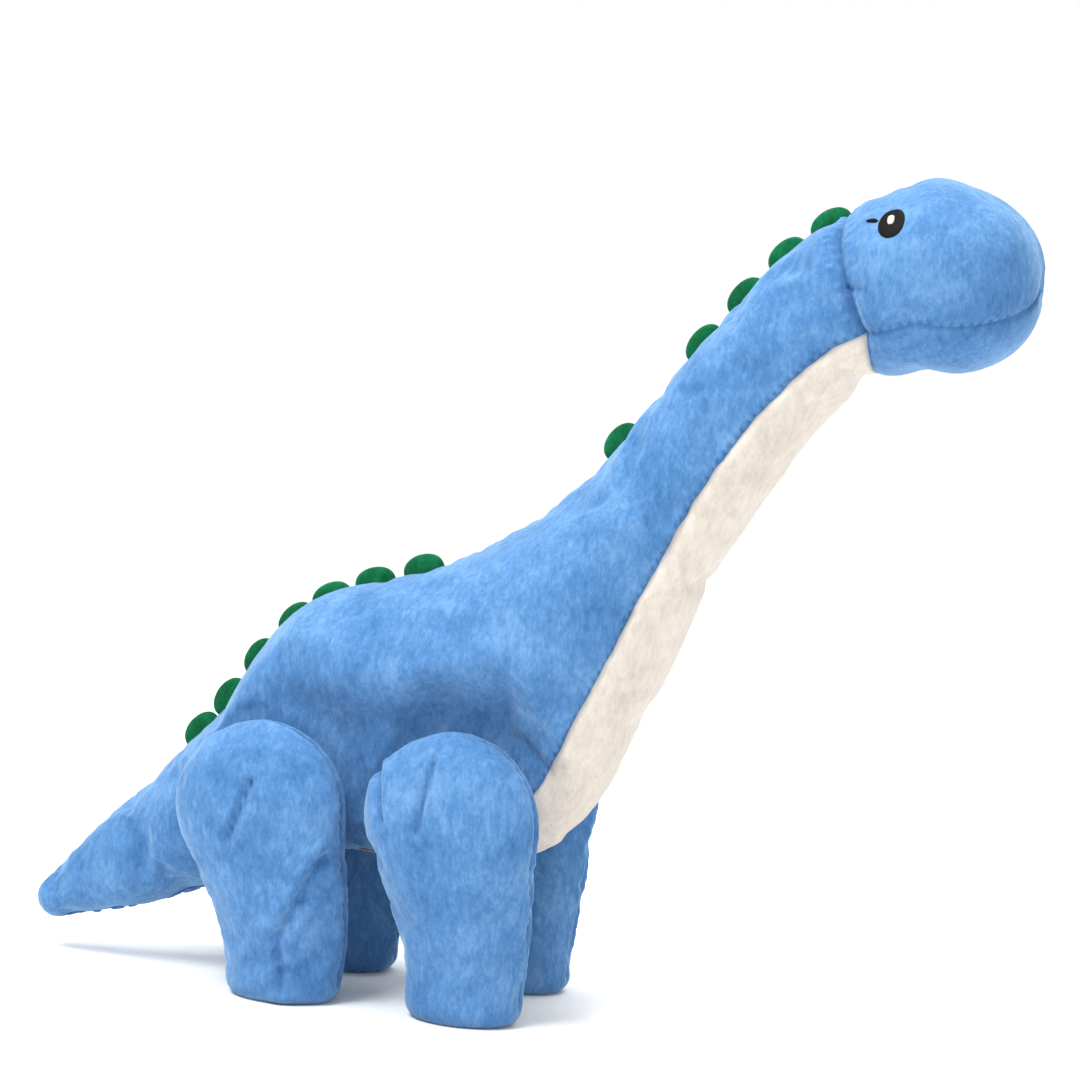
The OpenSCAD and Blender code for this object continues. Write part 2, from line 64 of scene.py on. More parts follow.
LASH_SHIFT = 1.2 * MM  # towards the pupil
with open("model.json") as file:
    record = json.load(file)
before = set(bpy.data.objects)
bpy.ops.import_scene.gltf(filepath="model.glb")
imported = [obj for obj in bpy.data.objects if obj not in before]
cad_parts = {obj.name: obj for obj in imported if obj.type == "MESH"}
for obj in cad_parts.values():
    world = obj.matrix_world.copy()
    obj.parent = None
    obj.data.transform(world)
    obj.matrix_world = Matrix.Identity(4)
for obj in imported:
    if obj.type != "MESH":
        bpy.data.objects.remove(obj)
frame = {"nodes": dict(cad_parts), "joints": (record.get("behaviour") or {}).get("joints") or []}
nodes = frame["nodes"]
joints = {j["name"]: j for j in frame["joints"]}
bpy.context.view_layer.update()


# ---------------------------------------------------------------- reading the CAD solids
def points_of(node):
    mesh = nodes[node].data
    co = np.zeros(len(mesh.vertices) * 3)
    mesh.vertices.foreach_get("co", co)
    return np.unique(co.reshape(-1, 3).round(6), axis=0)


def shared(a, b, near=0.03 * MM):
    """The points of a that are also in b."""
    gap = np.linalg.norm(a[:, None] - b[None], axis=2).min(1)
    return a[gap < near]


def apart(a, b, near=0.03 * MM):
    """The points of a that aren't in b."""
    gap = np.linalg.norm(a[:, None] - b[None], axis=2).min(1)
    return a[gap >= near]


def outside_of(panel, stuffing):
    return apart(points_of(panel), points_of(stuffing))


def merged(sets):
    kept = sets[0]
    for more in sets[1:]:
        kept = np.concatenate([kept, apart(more, kept)])
    return kept


def rings_between(points, tops, bottoms, count):
    """The rings of a part. Each lies across the line from a top point to its bottom point."""
    centres = (tops + bottoms) / 2
    lines = tops - bottoms
    lines = lines / np.linalg.norm(lines, axis=1)[:, None]
    across = np.stack([lines[:, 2], lines[:, 1] * 0, -lines[:, 0]], 1)
    far = np.abs(np.einsum("pik,ik->pi", points[:, None] - centres[None], across))
    owner = far.argmin(1)
    bowed = far.min(1) > 0.03 * MM
    owner[bowed] = np.where(far[bowed, 0] < far[bowed, -1], 0, len(tops) - 1)
    rings = []
    for i in range(len(tops)):
        ring = points[owner == i]
        if len(ring) != count:
            raise ValueError(f"ring {i} has {len(ring)} points")
        up = (ring - centres[i]) @ lines[i]
        angle = np.arctan2(-ring[:, 1], -up)
        angle[(np.abs(ring[:, 1]) < 0.01 * MM) & (up > 0)] = math.pi
        rings.append(np.roll(ring[np.argsort(angle)], -FLANK_POINTS, axis=0))
    return rings


def chained(points):
    """The points in their order along a line that starts at the rearmost one."""
    left = list(points)
    line = [left.pop(int(np.argmin(points[:, 0])))]
    while left:
        gaps = [np.linalg.norm(p - line[-1]) for p in left]
        line.append(left.pop(int(np.argmin(gaps))))
    return np.array(line)


def part_rings(name, belly):
    """Rings of a part with a right, a left and a belly panel, and its pole if it has one."""
    core = name + "_stuffing"
    right = outside_of(name + "_right_panel", core)
    left = outside_of(name + "_left_panel", core)
    under = outside_of(belly, core)
    tops = shared(right, left)
    bottoms = under[np.abs(under[:, 1]) < 0.01 * MM]
    tops = chained(tops)
    bottoms = chained(bottoms)
    pole = None
    if np.linalg.norm(tops[-1] - bottoms[-1]) < 0.1 * MM:
        pole = tops[-1]
        tops = tops[:-1]
        bottoms = bottoms[:-1]
    points = merged([right, left, under])
    if pole is not None:
        points = apart(points, pole[None])
    try:
        return rings_between(points, tops, bottoms, TRUNK_COLUMNS), pole
    except ValueError:
        # Under the chin the last two bottoms are so close that they chain the wrong way round
        bottoms[-2:] = bottoms[[-1, -2]]
        return rings_between(points, tops, bottoms, TRUNK_COLUMNS), pole


def tail_rings():
    """Rings of the tail, from its root to its tip, and the pole at the tip."""
    right = outside_of("tail_right_panel", "tail_stuffing")
    left = outside_of("tail_left_panel", "tail_stuffing")
    seam = shared(right, left)
    root = np.array(joints["tail_wag"]["pos_m"])
    pole = seam[np.linalg.norm(seam - root, axis=1).argmax()]
    seam = apart(seam, pole[None])
    way = (root - pole) / np.linalg.norm(root - pole)
    rise = np.array([-way[2], 0, way[0]])
    tops = seam[(seam - pole) @ rise > 0]
    bottoms = seam[(seam - pole) @ rise <= 0]
    tops = tops[np.argsort(-(tops @ way))]
    bottoms = bottoms[np.argsort(-(bottoms @ way))]
    points = apart(merged([right, left]), pole[None])
    return rings_between(points, tops, bottoms, TAIL_COLUMNS), pole


# ---------------------------------------------------------------- smooth surfaces
def spline(x, y, q, loop=0.0):
    """Cubic spline through the rows y at x, read at q. With loop it closes after that length."""
    if loop:
        x = np.concatenate([x[-5:] - loop, x, x[:6] + loop])
        y = np.concatenate([y[-5:], y, y[:6]])
    n = len(x)
    h = np.diff(x)
    a = np.eye(n)
    r = np.zeros_like(y)
    for i in range(1, n - 1):
        a[i, i - 1 : i + 2] = h[i - 1], 2 * (h[i - 1] + h[i]), h[i]
        r[i] = 6 * ((y[i + 1] - y[i]) / h[i] - (y[i] - y[i - 1]) / h[i - 1])
    m = np.linalg.solve(a, r)
    k = np.clip(np.searchsorted(x, q, side="right") - 1, 0, n - 2)
    s = ((x[k + 1] - q) / h[k])[:, None]
    t = ((q - x[k]) / h[k])[:, None]
    curve = (s**3 - s) * m[k] + (t**3 - t) * m[k + 1]
    return s * y[k] + t * y[k + 1] + curve * (h[k] ** 2)[:, None] / 6


class Surface:
    """A smooth surface through rings of points. u runs along it and v around it, in metres."""

    def __init__(self, rings):
        self.rings = np.array(rings)
        lengths = np.linalg.norm(np.diff(self.rings, axis=0), axis=2).mean(1)
        self.u = np.concatenate([[0], np.cumsum(lengths)])
        around = np.linalg.norm(self.rings - np.roll(self.rings, -1, 1), axis=2)
        around = around[around.sum(1) > 1 * MM].mean(0)
        self.v = np.concatenate([[0], np.cumsum(around)])
        self.loop = self.v[-1]
        self.columns = self.rings.shape[1]

    def at(self, us, vs):
        n, m = self.rings.shape[:2]
        rows = spline(self.u, self.rings.reshape(n, -1), us).reshape(len(us), m, 3)
        turned = rows.transpose(1, 0, 2).reshape(m, -1)
        out = spline(self.v[:-1], turned, vs, self.loop)
        return out.reshape(len(vs), len(us), 3).transpose(1, 0, 2)

    def vs(self, parts):
        """Places around the surface with that many parts in each of the CAD's cells."""
        ends = np.append(self.v[:-1], self.loop)
        return np.concatenate(
            [ends[j] + (ends[j + 1] - ends[j]) * np.arange(parts[j]) / parts[j]
             for j in range(self.columns)]
        )


def steps(marks, size):
    """Places from the first mark to the last, about that size apart, with each mark among them."""
    out = [marks[0]]
    for a, b in zip(marks[:-1], marks[1:]):
        n = max(1, round((b - a) / size))
        out += list(a + (b - a) * np.arange(1, n + 1) / n)
    return np.array(out)


def normals_of(grid):
    """Normals of a grid that closes around its columns, pointing outward."""
    along = np.empty_like(grid)
    along[1:-1] = grid[2:] - grid[:-2]
    along[0] = grid[1] - grid[0]
    along[-1] = grid[-1] - grid[-2]
    around = np.roll(grid, -1, 1) - np.roll(grid, 1, 1)
    n = np.cross(along, around)
    size = np.linalg.norm(n, axis=2)
    n = n / np.maximum(size, 1e-12)[:, :, None]
    for row, other in ((0, 1), (-1, -2)):
        if np.ptp(grid[row], axis=0).max() < 0.01 * MM:
            way = grid[row].mean(0) - grid[other].mean(0)
            n[row] = way / np.linalg.norm(way)
    return n


# ---------------------------------------------------------------- the trunk and its landmarks
RIGHT_SEAM_COLUMN, BACK_COLUMN = 6, 18
tail_set, tail_pole = tail_rings()
torso_set, _ = part_rings("torso", "belly_panel")
neck_set, _ = part_rings("neck", "throat_panel")
head_set, nose_pole = part_rings("head", "chin_panel")

# The tail's rings get the trunk's columns, with its under seam spread over the belly's six
tail_angles = np.radians(
    [4 * (j / 3 - 1) for j in range(6)]
    + [4 + 176 * j / 12 for j in range(12)]
    + [180 + 176 * j / 12 for j in range(12)]
) % (2 * math.pi)
tail_steps = 2 * math.pi * np.arange(TAIL_COLUMNS) / TAIL_COLUMNS
tail_set = [spline(tail_steps, ring, tail_angles, 2 * math.pi) for ring in tail_set[1:]]
trunk_rings = (
    [np.repeat(tail_pole[None], TRUNK_COLUMNS, 0)]
    + tail_set[::-1]
    + torso_set
    + neck_set[1:]
    + head_set[1:]
    + [np.repeat(nose_pole[None], TRUNK_COLUMNS, 0)]
)
trunk = Surface(trunk_rings)
tail_root_u = trunk.u[1 + len(tail_set)]
neck_root_u = trunk.u[len(tail_set) + len(torso_set)]
head_seam_u = trunk.u[len(tail_set) + len(torso_set) + len(neck_set) - 1]
nose_u = trunk.u[-1]
body_mid_u = (tail_root_u + neck_root_u) / 2
neck_mid_u = (neck_root_u + head_seam_u) / 2

LEGS = ("front_right_leg", "front_left_leg", "rear_right_leg", "rear_left_leg")


def leg_rings(leg):
    """Rings of a leg from the middle of the sole up to the top of the thigh."""
    core = leg + "_stuffing"
    outer = outside_of(leg + "_outer_panel", core)
    inner = outside_of(leg + "_inner_panel", core)
    points = merged([outer, inner])
    heights = np.unique(points[:, 2].round(5))
    rings = []
    for z in heights:
        ring = points[np.abs(points[:, 2] - z) < 0.02 * MM]
        if len(ring) == 1:
            rings.append(np.repeat(ring, LEG_COLUMNS, 0))
        elif len(ring) == LEG_COLUMNS + 1:
            lone = np.linalg.norm(ring[:, :2] - ring[:, :2].mean(0), axis=1).argmin()
            rings.append(np.repeat(ring[lone][None], LEG_COLUMNS, 0))
            ring = np.delete(ring, lone, 0)
        if len(ring) == LEG_COLUMNS:
            c = ring.mean(0)
            angle = np.arctan2(c[1] - ring[:, 1], ring[:, 0] - c[0])
            rings.append(ring[np.argsort((angle + 1e-4) % (2 * math.pi))])
    return rings


class Leg:
    def __init__(self, name):
        self.name = name
        self.side = -1 if "right" in name else 1
        self.front = name.startswith("front")
        self.hip = np.array(joints[name + "_swing"]["pos_m"])
        self.surface = Surface(leg_rings(name))
        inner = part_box(name + "_inner_panel")
        self.seat = min(abs(inner[0].y), abs(inner[1].y))


legs = [Leg(name) for name in LEGS]
thigh_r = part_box(LEGS[0] + "_outer_panel")[1].z - legs[0].hip[2]


# ---------------------------------------------------------------- stuffing the skins as cloth
def closed(grid):
    """Points and outward faces of a closed grid whose first and last rows are poles."""
    n, m = grid.shape[:2]
    points = np.concatenate([grid[0, :1], grid[1:-1].reshape(-1, 3), grid[-1, :1]])
    ring = 1 + np.arange((n - 2) * m).reshape(n - 2, m)
    after = np.roll(ring, -1, 1)
    last = len(points) - 1
    faces = [(0, int(a), int(b)) for a, b in zip(ring[0], after[0])]
    quads = np.stack([ring[:-1], ring[1:], after[1:], after[:-1]], 2).reshape(-1, 4)
    faces += [tuple(int(k) for k in q) for q in quads]
    faces += [(last, int(b), int(a)) for a, b in zip(ring[-1], after[-1])]
    return points, faces


def opened(points, shape):
    n, m = shape
    grid = np.empty((n, m, 3))
    grid[0] = points[0]
    grid[-1] = points[-1]
    grid[1:-1] = points[1:-1].reshape(n - 2, m, 3)
    return grid


def new_object(name, points, faces):
    mesh = bpy.data.meshes.new(name)
    mesh.from_pydata([tuple(p) for p in points], [], faces)
    mesh.polygons.foreach_set("use_smooth", [True] * len(mesh.polygons))
    mesh.update()
    obj = bpy.data.objects.new(name, mesh)
    bpy.context.scene.collection.objects.link(obj)
    return obj


def inflated(grids, holds, pressure, cap):
    """The grids after a cloth simulation under pressure. holds are where the cloth stays put."""
    points, faces, weights, spans = [], [], [], []
    for grid, hold in zip(grids, holds):
        p, f = closed(grid)
        base = sum(len(q) for q in points)
        points.append(p)
        faces += [tuple(k + base for k in face) for face in f]
        weights.append(np.concatenate([hold[0, :1], hold[1:-1].ravel(), hold[-1, :1]]))
        spans.append((base, base + len(p), grid.shape[:2]))
    points = np.concatenate(points)
    obj = new_object("stuffed_cloth", points, faces)
    group = obj.vertex_groups.new(name="sewn")
    for k, w in enumerate(np.concatenate(weights)):
        group.add([k], float(w), "REPLACE")
    cloth = obj.modifiers.new("cloth", "CLOTH")
    cloth.settings.quality = 5
    cloth.settings.mass = 0.05
    cloth.settings.tension_stiffness = 15
    cloth.settings.compression_stiffness = 15
    cloth.settings.shear_stiffness = 5
    cloth.settings.bending_stiffness = 2.0
    cloth.settings.shrink_min = -CLOTH_SLACK
    cloth.settings.use_pressure = True
    cloth.settings.uniform_pressure_force = pressure
    cloth.settings.vertex_group_mass = "sewn"
    cloth.settings.effector_weights.gravity = 0
    cloth.collision_settings.use_collision = False
    cloth.collision_settings.use_self_collision = False
    for step in range(CLOTH_FRAMES):
        bpy.context.scene.frame_set(step + 1)
    result = obj.evaluated_get(bpy.context.evaluated_depsgraph_get()).to_mesh()
    moved = np.zeros(len(points) * 3)
    result.vertices.foreach_get("co", moved)
    bpy.data.objects.remove(obj)
    bpy.context.scene.frame_set(1)
    step = moved.reshape(-1, 3) - points
    size = np.linalg.norm(step, axis=1)[:, None]
    print(f"cloth moved {size.max() / MM:.2f} mm at most, {size.mean() / MM:.2f} mm on average")
    step = step * (cap * np.tanh(size / cap) / np.maximum(size, 1e-9))
    return [opened(points[a:b] + step[a:b], shape) for a, b, shape in spans]


def near_hips(grid, border):
    """Where the trunk lies behind a thigh, from 0 to 1."""
    out = np.zeros(grid.shape[:2])
    for leg in legs:
        far = np.linalg.norm(grid[:, :, [0, 2]] - leg.hip[[0, 2]], axis=2)
        beside = grid[:, :, 1] * leg.side > leg.seat * 0.6
        out = np.maximum(out, beside * np.clip((thigh_r + border - far) / (4 * MM), 0, 1))
    return out


sim_us = steps([0, tail_root_u, neck_root_u, head_seam_u, nose_u], CLOTH_CELL)
sim_vs = trunk.vs([CLOTH_PARTS] * TRUNK_COLUMNS)
sim_trunk = trunk.at(sim_us, sim_vs)
hold = near_hips(sim_trunk, 2 * MM)
seam_row = int(np.abs(sim_us - head_seam_u).argmin())
hold[seam_row] = 1
hold[:, CLOTH_PARTS * BACK_COLUMN] = 1
hold[sim_us > tail_root_u, 0] = 1
hold[sim_us > tail_root_u, CLOTH_PARTS * RIGHT_SEAM_COLUMN] = 1
hold[sim_us <= tail_root_u, CLOTH_PARTS * RIGHT_SEAM_COLUMN // 2] = 1
hold[0] = 1
hold[-1] = 0
sim_grids = [sim_trunk]
sim_holds = [hold]
for leg in legs:
    leg.us = steps([0, leg.surface.u[1], leg.surface.u[-1]], CLOTH_CELL)
    leg.vs = leg.surface.vs([CLOTH_PARTS] * LEG_COLUMNS)
    grid = leg.surface.at(leg.us, leg.vs)
    held = np.zeros(grid.shape[:2])
    held[:, 0] = 1
    held[:, CLOTH_PARTS * LEG_COLUMNS // 2] = 1
    held[grid[:, :, 2] < 1.5 * MM] = 1
    held[np.abs(grid[:, :, 1]) < abs(leg.hip[1]) - 12 * MM] = 1
    sim_grids.append(grid)
    sim_holds.append(held)
stuffed = inflated(sim_grids, sim_holds, CLOTH_PRESSURE, MOST_MOVED)


def refined(surface, us, vs, coarse, rest, fine_us, fine_vs):
    """The smooth surface at fine places, moved as its coarse grid was."""
    shift = coarse - rest
    n, m = shift.shape[:2]
    rows = spline(us, shift.reshape(n, -1), fine_us).reshape(len(fine_us), m, 3)
    turned = rows.transpose(1, 0, 2).reshape(m, -1)
    out = spline(vs, turned, fine_vs, surface.loop)
    out = out.reshape(len(fine_vs), len(fine_us), 3).transpose(1, 0, 2)
    return surface.at(fine_us, fine_vs) + out


# ---------------------------------------------------------------- seams, darts and stitches, with painted shade in them
def around_lengths(grid):
    step = np.linalg.norm(np.roll(grid, -1, 1) - grid, axis=2)
    return np.cumsum(step, 1) - step, step.sum(1)


def along_lengths(grid):
    step = np.linalg.norm(np.diff(grid, axis=0), axis=2)
    return np.concatenate([np.zeros((1, grid.shape[1])), np.cumsum(step, 0)])


def from_column(grid, column):
    """Distance around each row from a column: signed, positive towards higher columns."""
    place, total = around_lengths(grid)
    far = place - place[:, column : column + 1]
    total = total[:, None]
    return (far + total / 2) % total - total / 2


def dent(far, width):
    return np.exp(-((far / width) ** 2))


def row_fade(us, a, b, soft=6 * MM):
    """1 between a and b along the trunk, fading over soft outside."""
    return np.clip((us - a) / soft + 1, 0, 1) * np.clip((b - us) / soft + 1, 0, 1)


def to_line(grid, points):
    """Distance in the X-Z plane to a line through points."""
    best = np.full(grid.shape[:2], 1.0)
    flat = grid[:, :, [0, 2]]
    for a, b in zip(points[:-1], points[1:]):
        a, b = np.array(a), np.array(b)
        t = np.clip(((flat - a) @ (b - a)) / ((b - a) @ (b - a)), 0, 1)
        best = np.minimum(best, np.linalg.norm(flat - a - t[:, :, None] * (b - a), axis=2))
    return best


def rough(grid, size, seed):
    """Smooth noise from -1 to 1 at every point, about that size across."""
    flat = grid.reshape(-1, 3) / size
    out = [noise.noise(Vector((p[0] + seed, p[1], p[2]))) for p in flat]
    return np.array(out).reshape(grid.shape[:2])


# ---- trunk skin
flank = [7] + [5] * 10 + [7]
CELLS = [7, 5, 5, 5, 5, 7] + flank + flank
ends = np.concatenate([[0], np.cumsum(CELLS)])
BELLY_LEFT = int(ends[0])
BELLY_MID = int(ends[RIGHT_SEAM_COLUMN // 2])
BELLY_RIGHT = int(ends[RIGHT_SEAM_COLUMN])
BACK = int(ends[BACK_COLUMN])
row_marks = [0, tail_root_u, body_mid_u, neck_root_u, neck_mid_u, head_seam_u, nose_u]
fine_us = steps(row_marks, TRUNK_CELL)
fine_vs = trunk.vs(CELLS)
skin = refined(trunk, sim_us, sim_vs, stuffed[0], sim_trunk, fine_us, fine_vs)
row_names = ("tail_tip", "tail_root", "body_mid", "neck_root", "neck_mid", "head_seam", "nose")
row_of = {name: int(np.abs(fine_us - u).argmin()) for name, u in zip(row_names, row_marks)}

# Rows crowd together under the chin, so the skin is eased there
near_seam = np.exp(-((fine_us - head_seam_u) / (13 * MM)) ** 2)
seam_z = skin[row_of["head_seam"], :, 2]
low = np.clip((seam_z.mean() - seam_z) / (12 * MM), 0, 1)
ease = (near_seam[1:-1, None] * low[None])[:, :, None]
for _ in range(160):
    middle = (skin[2:] + skin[:-2]) / 2
    skin[1:-1] += 0.5 * ease * (middle - skin[1:-1])

# The seam behind the head bows back on both cheeks
cheek = np.zeros(len(fine_vs))
for a, b in ((BELLY_RIGHT, BACK), (BACK, len(fine_vs))):
    t = (np.arange(a, b) - a) / (b - a)
    cheek[a:b] = np.sin(math.pi * t) ** 0.8
bow = 6.5 * MM * np.exp(-((fine_us - head_seam_u) / (26 * MM)) ** 2)
for j in range(len(fine_vs)):
    source = fine_us - bow * cheek[j]
    skin[:, j] = np.stack([np.interp(source, fine_us, skin[:, j, k]) for k in range(3)], 1)

normals = normals_of(skin)
along = along_lengths(skin)
us_grid = fine_us[:, None] + 0 * skin[:, :, 0]
from_back = from_column(skin, BACK)
from_left = from_column(skin, BELLY_LEFT)
from_right = from_column(skin, BELLY_RIGHT)
from_under = from_column(skin, BELLY_MID)
from_ring = along - along[row_of["head_seam"]]
in_tail = np.clip((tail_root_u + 4 * MM - us_grid) / (8 * MM), 0, 1)

push = np.zeros(skin.shape[:2])
# This array holds painted shade: darker colour along the back, belly and head seams, in the stitch
# holes and in the cheek darts, where shade falls in the creases.
painted_shade = np.zeros(skin.shape[:2])
upper = np.clip((skin[:, :, 2] - skin[row_of["head_seam"], BELLY_MID, 2]) / (22 * MM), 0.12, 1)
push -= 2.8 * MM * dent(from_back, 2.8 * MM) * row_fade(us_grid, 6 * MM, head_seam_u)
painted_shade += 0.6 * dent(from_back, 1.6 * MM) * row_fade(us_grid, 6 * MM, head_seam_u)
crown = row_fade(us_grid, head_seam_u, nose_u - 4 * MM)
push += (0.9 * dent(from_back, 3.2 * MM) - 1.8 * dent(from_back, 1.0 * MM)) * MM * crown
painted_shade += 0.5 * dent(from_back, 0.9 * MM) * crown
for far, column in ((from_left, BELLY_LEFT), (from_right, BELLY_RIGHT)):
    body = (1 - in_tail) * (us_grid < head_seam_u)
    chin = (us_grid >= head_seam_u) * row_fade(us_grid, 0, nose_u - 6 * MM)
    push -= 1.7 * MM * dent(far, 1.5 * MM) * body
    push -= 0.9 * MM * dent(far, 1.2 * MM) * chin
    side = 1 if column == BELLY_RIGHT else -1
    beside = dent(far * side - 1.7 * MM, 0.8 * MM)
    pitch = (0.5 + 0.5 * np.cos(2 * math.pi * along[:, column : column + 1] / STITCH_PITCH)) ** 2
    push -= 0.9 * MM * beside * pitch * (1 - in_tail)
    painted_shade += 0.5 * dent(far, 0.9 * MM) * (body + chin)
    painted_shade += 0.75 * beside * pitch * (1 - in_tail)
push -= 0.9 * MM * dent(from_under, 1.6 * MM) * in_tail
push -= 3.4 * MM * dent(from_ring, 2.3 * MM) * upper
push += 1.5 * MM * dent(from_ring - 10 * MM, 7 * MM) * upper**2 * (1 - dent(from_back, 9 * MM))
push += 0.6 * MM * dent(from_ring + 9 * MM, 6 * MM) * upper
painted_shade += 0.8 * dent(from_ring, 1.3 * MM)
gather = np.cos(2 * math.pi * np.arange(skin.shape[1]) / 3.7)[None, :]
push += 0.3 * MM * gather * dent(np.abs(from_ring) - 4 * MM, 3 * MM) * upper

# A short dart on each cheek, at half the height of the head seam
seam_height = skin[row_of["head_seam"], :, 2]
dart_z = (seam_height.max() + seam_height.min()) / 2 + 1 * MM
cheek_x = skin[row_of["head_seam"]][np.abs(seam_height - dart_z).argmin(), 0]
dart = to_line(skin, [(cheek_x, dart_z), (cheek_x + 9 * MM, dart_z - 1 * MM)])
push -= 1.6 * MM * dent(dart, 1.2 * MM)
painted_shade += 0.6 * dent(dart, 0.8 * MM)

# Soft hollows and swells of hand stuffing
on_trunk = np.clip((head_seam_u - us_grid) / (20 * MM), 0.2, 1)
push += 0.5 * MM * rough(skin, 34 * MM, 3.1) * on_trunk * (1 - near_hips(skin, 2 * MM))
push += 0.1 * MM * rough(skin, 7 * MM, 11.7)
push += 0.12 * MM * rough(skin, 1.9 * MM, 23.9)
skin = skin + push[:, :, None] * normals
for leg in legs:
    limit = leg.seat + 8.6 * MM
    behind = near_hips(skin, 7 * MM) * (skin[:, :, 1] * leg.side > 0)
    y = np.clip(skin[:, :, 1], -limit, limit)
    skin[:, :, 1] += behind * (y - skin[:, :, 1])
normals = normals_of(skin)
skin_tree_points, skin_tree_faces = closed(skin)
skin_tree = BVHTree.FromPolygons([Vector(p) for p in skin_tree_points], skin_tree_faces)


def sheet_of(name, grid, normal, rows, columns, material, painted_shade):
    """An object from some rows and columns of a grid that closes around its columns."""
    r = np.arange(rows[0], rows[1] + 1)
    c = np.arange(columns[0], columns[1] + 1) % grid.shape[1]
    part = grid[np.ix_(r, c)]
    turn = normal[np.ix_(r, c)]
    n, m = part.shape[:2]
    k = np.arange(n * m).reshape(n, m)
    quads = np.stack([k[:-1, :-1], k[1:, :-1], k[1:, 1:], k[:-1, 1:]], 2).reshape(-1, 4)
    obj = new_object(name, part.reshape(-1, 3), [tuple(int(i) for i in q) for q in quads])
    obj.data.normals_split_custom_set_from_vertices([tuple(v) for v in turn.reshape(-1, 3)])
    # The 'seam' attribute carries the painted shade, darker colour in the creases, to the
    # material.
    seam = obj.data.attributes.new("seam", "FLOAT", "POINT")
    seam.data.foreach_set("value", painted_shade[np.ix_(r, c)].astype(np.float32).ravel())
    obj.data.materials.append(material)
    return obj


# ---------------------------------------------------------------- materials
def shader(name):
    material = bpy.data.materials.new(name)
    material.use_nodes = True
    tree = material.node_tree
    return material, tree, tree.nodes["Principled BSDF"]


def noise_node(tree, scale, stretch=(1, 1, 1), detail=3.0, tilt=(0, 0, 0)):
    coord = tree.nodes.new("ShaderNodeTexCoord")
    mapping = tree.nodes.new("ShaderNodeMapping")
    mapping.inputs["Scale"].default_value = stretch
    mapping.inputs["Rotation"].default_value = tilt
    node = tree.nodes.new("ShaderNodeTexNoise")
    node.inputs["Scale"].default_value = scale
    node.inputs["Detail"].default_value = detail
    tree.links.new(coord.outputs["Object"], mapping.inputs["Vector"])
    tree.links.new(mapping.outputs["Vector"], node.inputs["Vector"])
    return node


def math_node(tree, operation, a, b):
    node = tree.nodes.new("ShaderNodeMath")
    node.operation = operation
    for socket, value in zip(node.inputs, (a, b)):
        if isinstance(value, (int, float)):
            socket.default_value = value
        else:
            tree.links.new(value, socket)
    return node.outputs[0]


def plush(name, dark, mid, light, sheen, sheen_tint, pile=0.5, rough_pile=0.5):
    """Short-pile plush: mottled patches, brushed streaks, single fibres, a pale sheen and painted
    shade in the creases.
    """
    material, tree, bsdf = shader(name)
    patches = noise_node(tree, 42, detail=2).outputs["Fac"]
    streaks = noise_node(tree, 330, (1.0, 1.0, 0.45), 4, (0, 0.55, 0)).outputs["Fac"]
    tufts = noise_node(tree, 760, (1.0, 1.0, 0.5), 3, (0, 0.35, 0)).outputs["Fac"]
    fibres = noise_node(tree, 2600, (1.0, 1.0, 0.35), 2, (0, 0.6, 0)).outputs["Fac"]
    tone = math_node(tree, "MULTIPLY", patches, 0.34)
    tone = math_node(tree, "ADD", tone, math_node(tree, "MULTIPLY", streaks, 0.3))
    tone = math_node(tree, "ADD", tone, math_node(tree, "MULTIPLY", tufts, 0.22))
    tone = math_node(tree, "ADD", tone, math_node(tree, "MULTIPLY", fibres, 0.14))
    ramp = tree.nodes.new("ShaderNodeValToRGB")
    ramp.color_ramp.elements[0].position = 0.36
    ramp.color_ramp.elements[0].color = (*dark, 1)
    ramp.color_ramp.elements[1].position = 0.64
    ramp.color_ramp.elements[1].color = (*light, 1)
    middle = ramp.color_ramp.elements.new(0.5)
    middle.color = (*mid, 1)
    tree.links.new(tone, ramp.inputs["Fac"])
    # The 'seam' attribute multiplies the colour towards dark blue: painted shade in seams, darts,
    # stitch holes and folds.
    seam = tree.nodes.new("ShaderNodeAttribute")
    seam.attribute_name = "seam"
    painted_shade = tree.nodes.new("ShaderNodeMix")
    painted_shade.data_type = "RGBA"
    painted_shade.blend_type = "MULTIPLY"
    painted_shade.inputs[7].default_value = (0.3, 0.42, 0.55, 1)
    tree.links.new(ramp.outputs["Color"], painted_shade.inputs[6])
    tree.links.new(seam.outputs["Fac"], painted_shade.inputs[0])
    tree.links.new(painted_shade.outputs[2], bsdf.inputs["Base Color"])
    bsdf.inputs["Roughness"].default_value = 0.9
    bsdf.inputs["Specular IOR Level"].default_value = 0.12
    bsdf.inputs["Sheen Weight"].default_value = sheen
    bsdf.inputs["Sheen Roughness"].default_value = 0.42
    bsdf.inputs["Sheen Tint"].default_value = (*sheen_tint, 1)
    height = math_node(tree, "MULTIPLY", streaks, rough_pile)
    height = math_node(tree, "ADD", height, math_node(tree, "MULTIPLY", tufts, 0.6 * rough_pile))
    height = math_node(tree, "ADD", height, math_node(tree, "MULTIPLY", fibres, 0.22))
    bump = tree.nodes.new("ShaderNodeBump")
    bump.inputs["Strength"].default_value = pile
    bump.inputs["Distance"].default_value = 1.3 * MM
    tree.links.new(height, bump.inputs["Height"])
    tree.links.new(bump.outputs["Normal"], bsdf.inputs["Normal"])
    return material


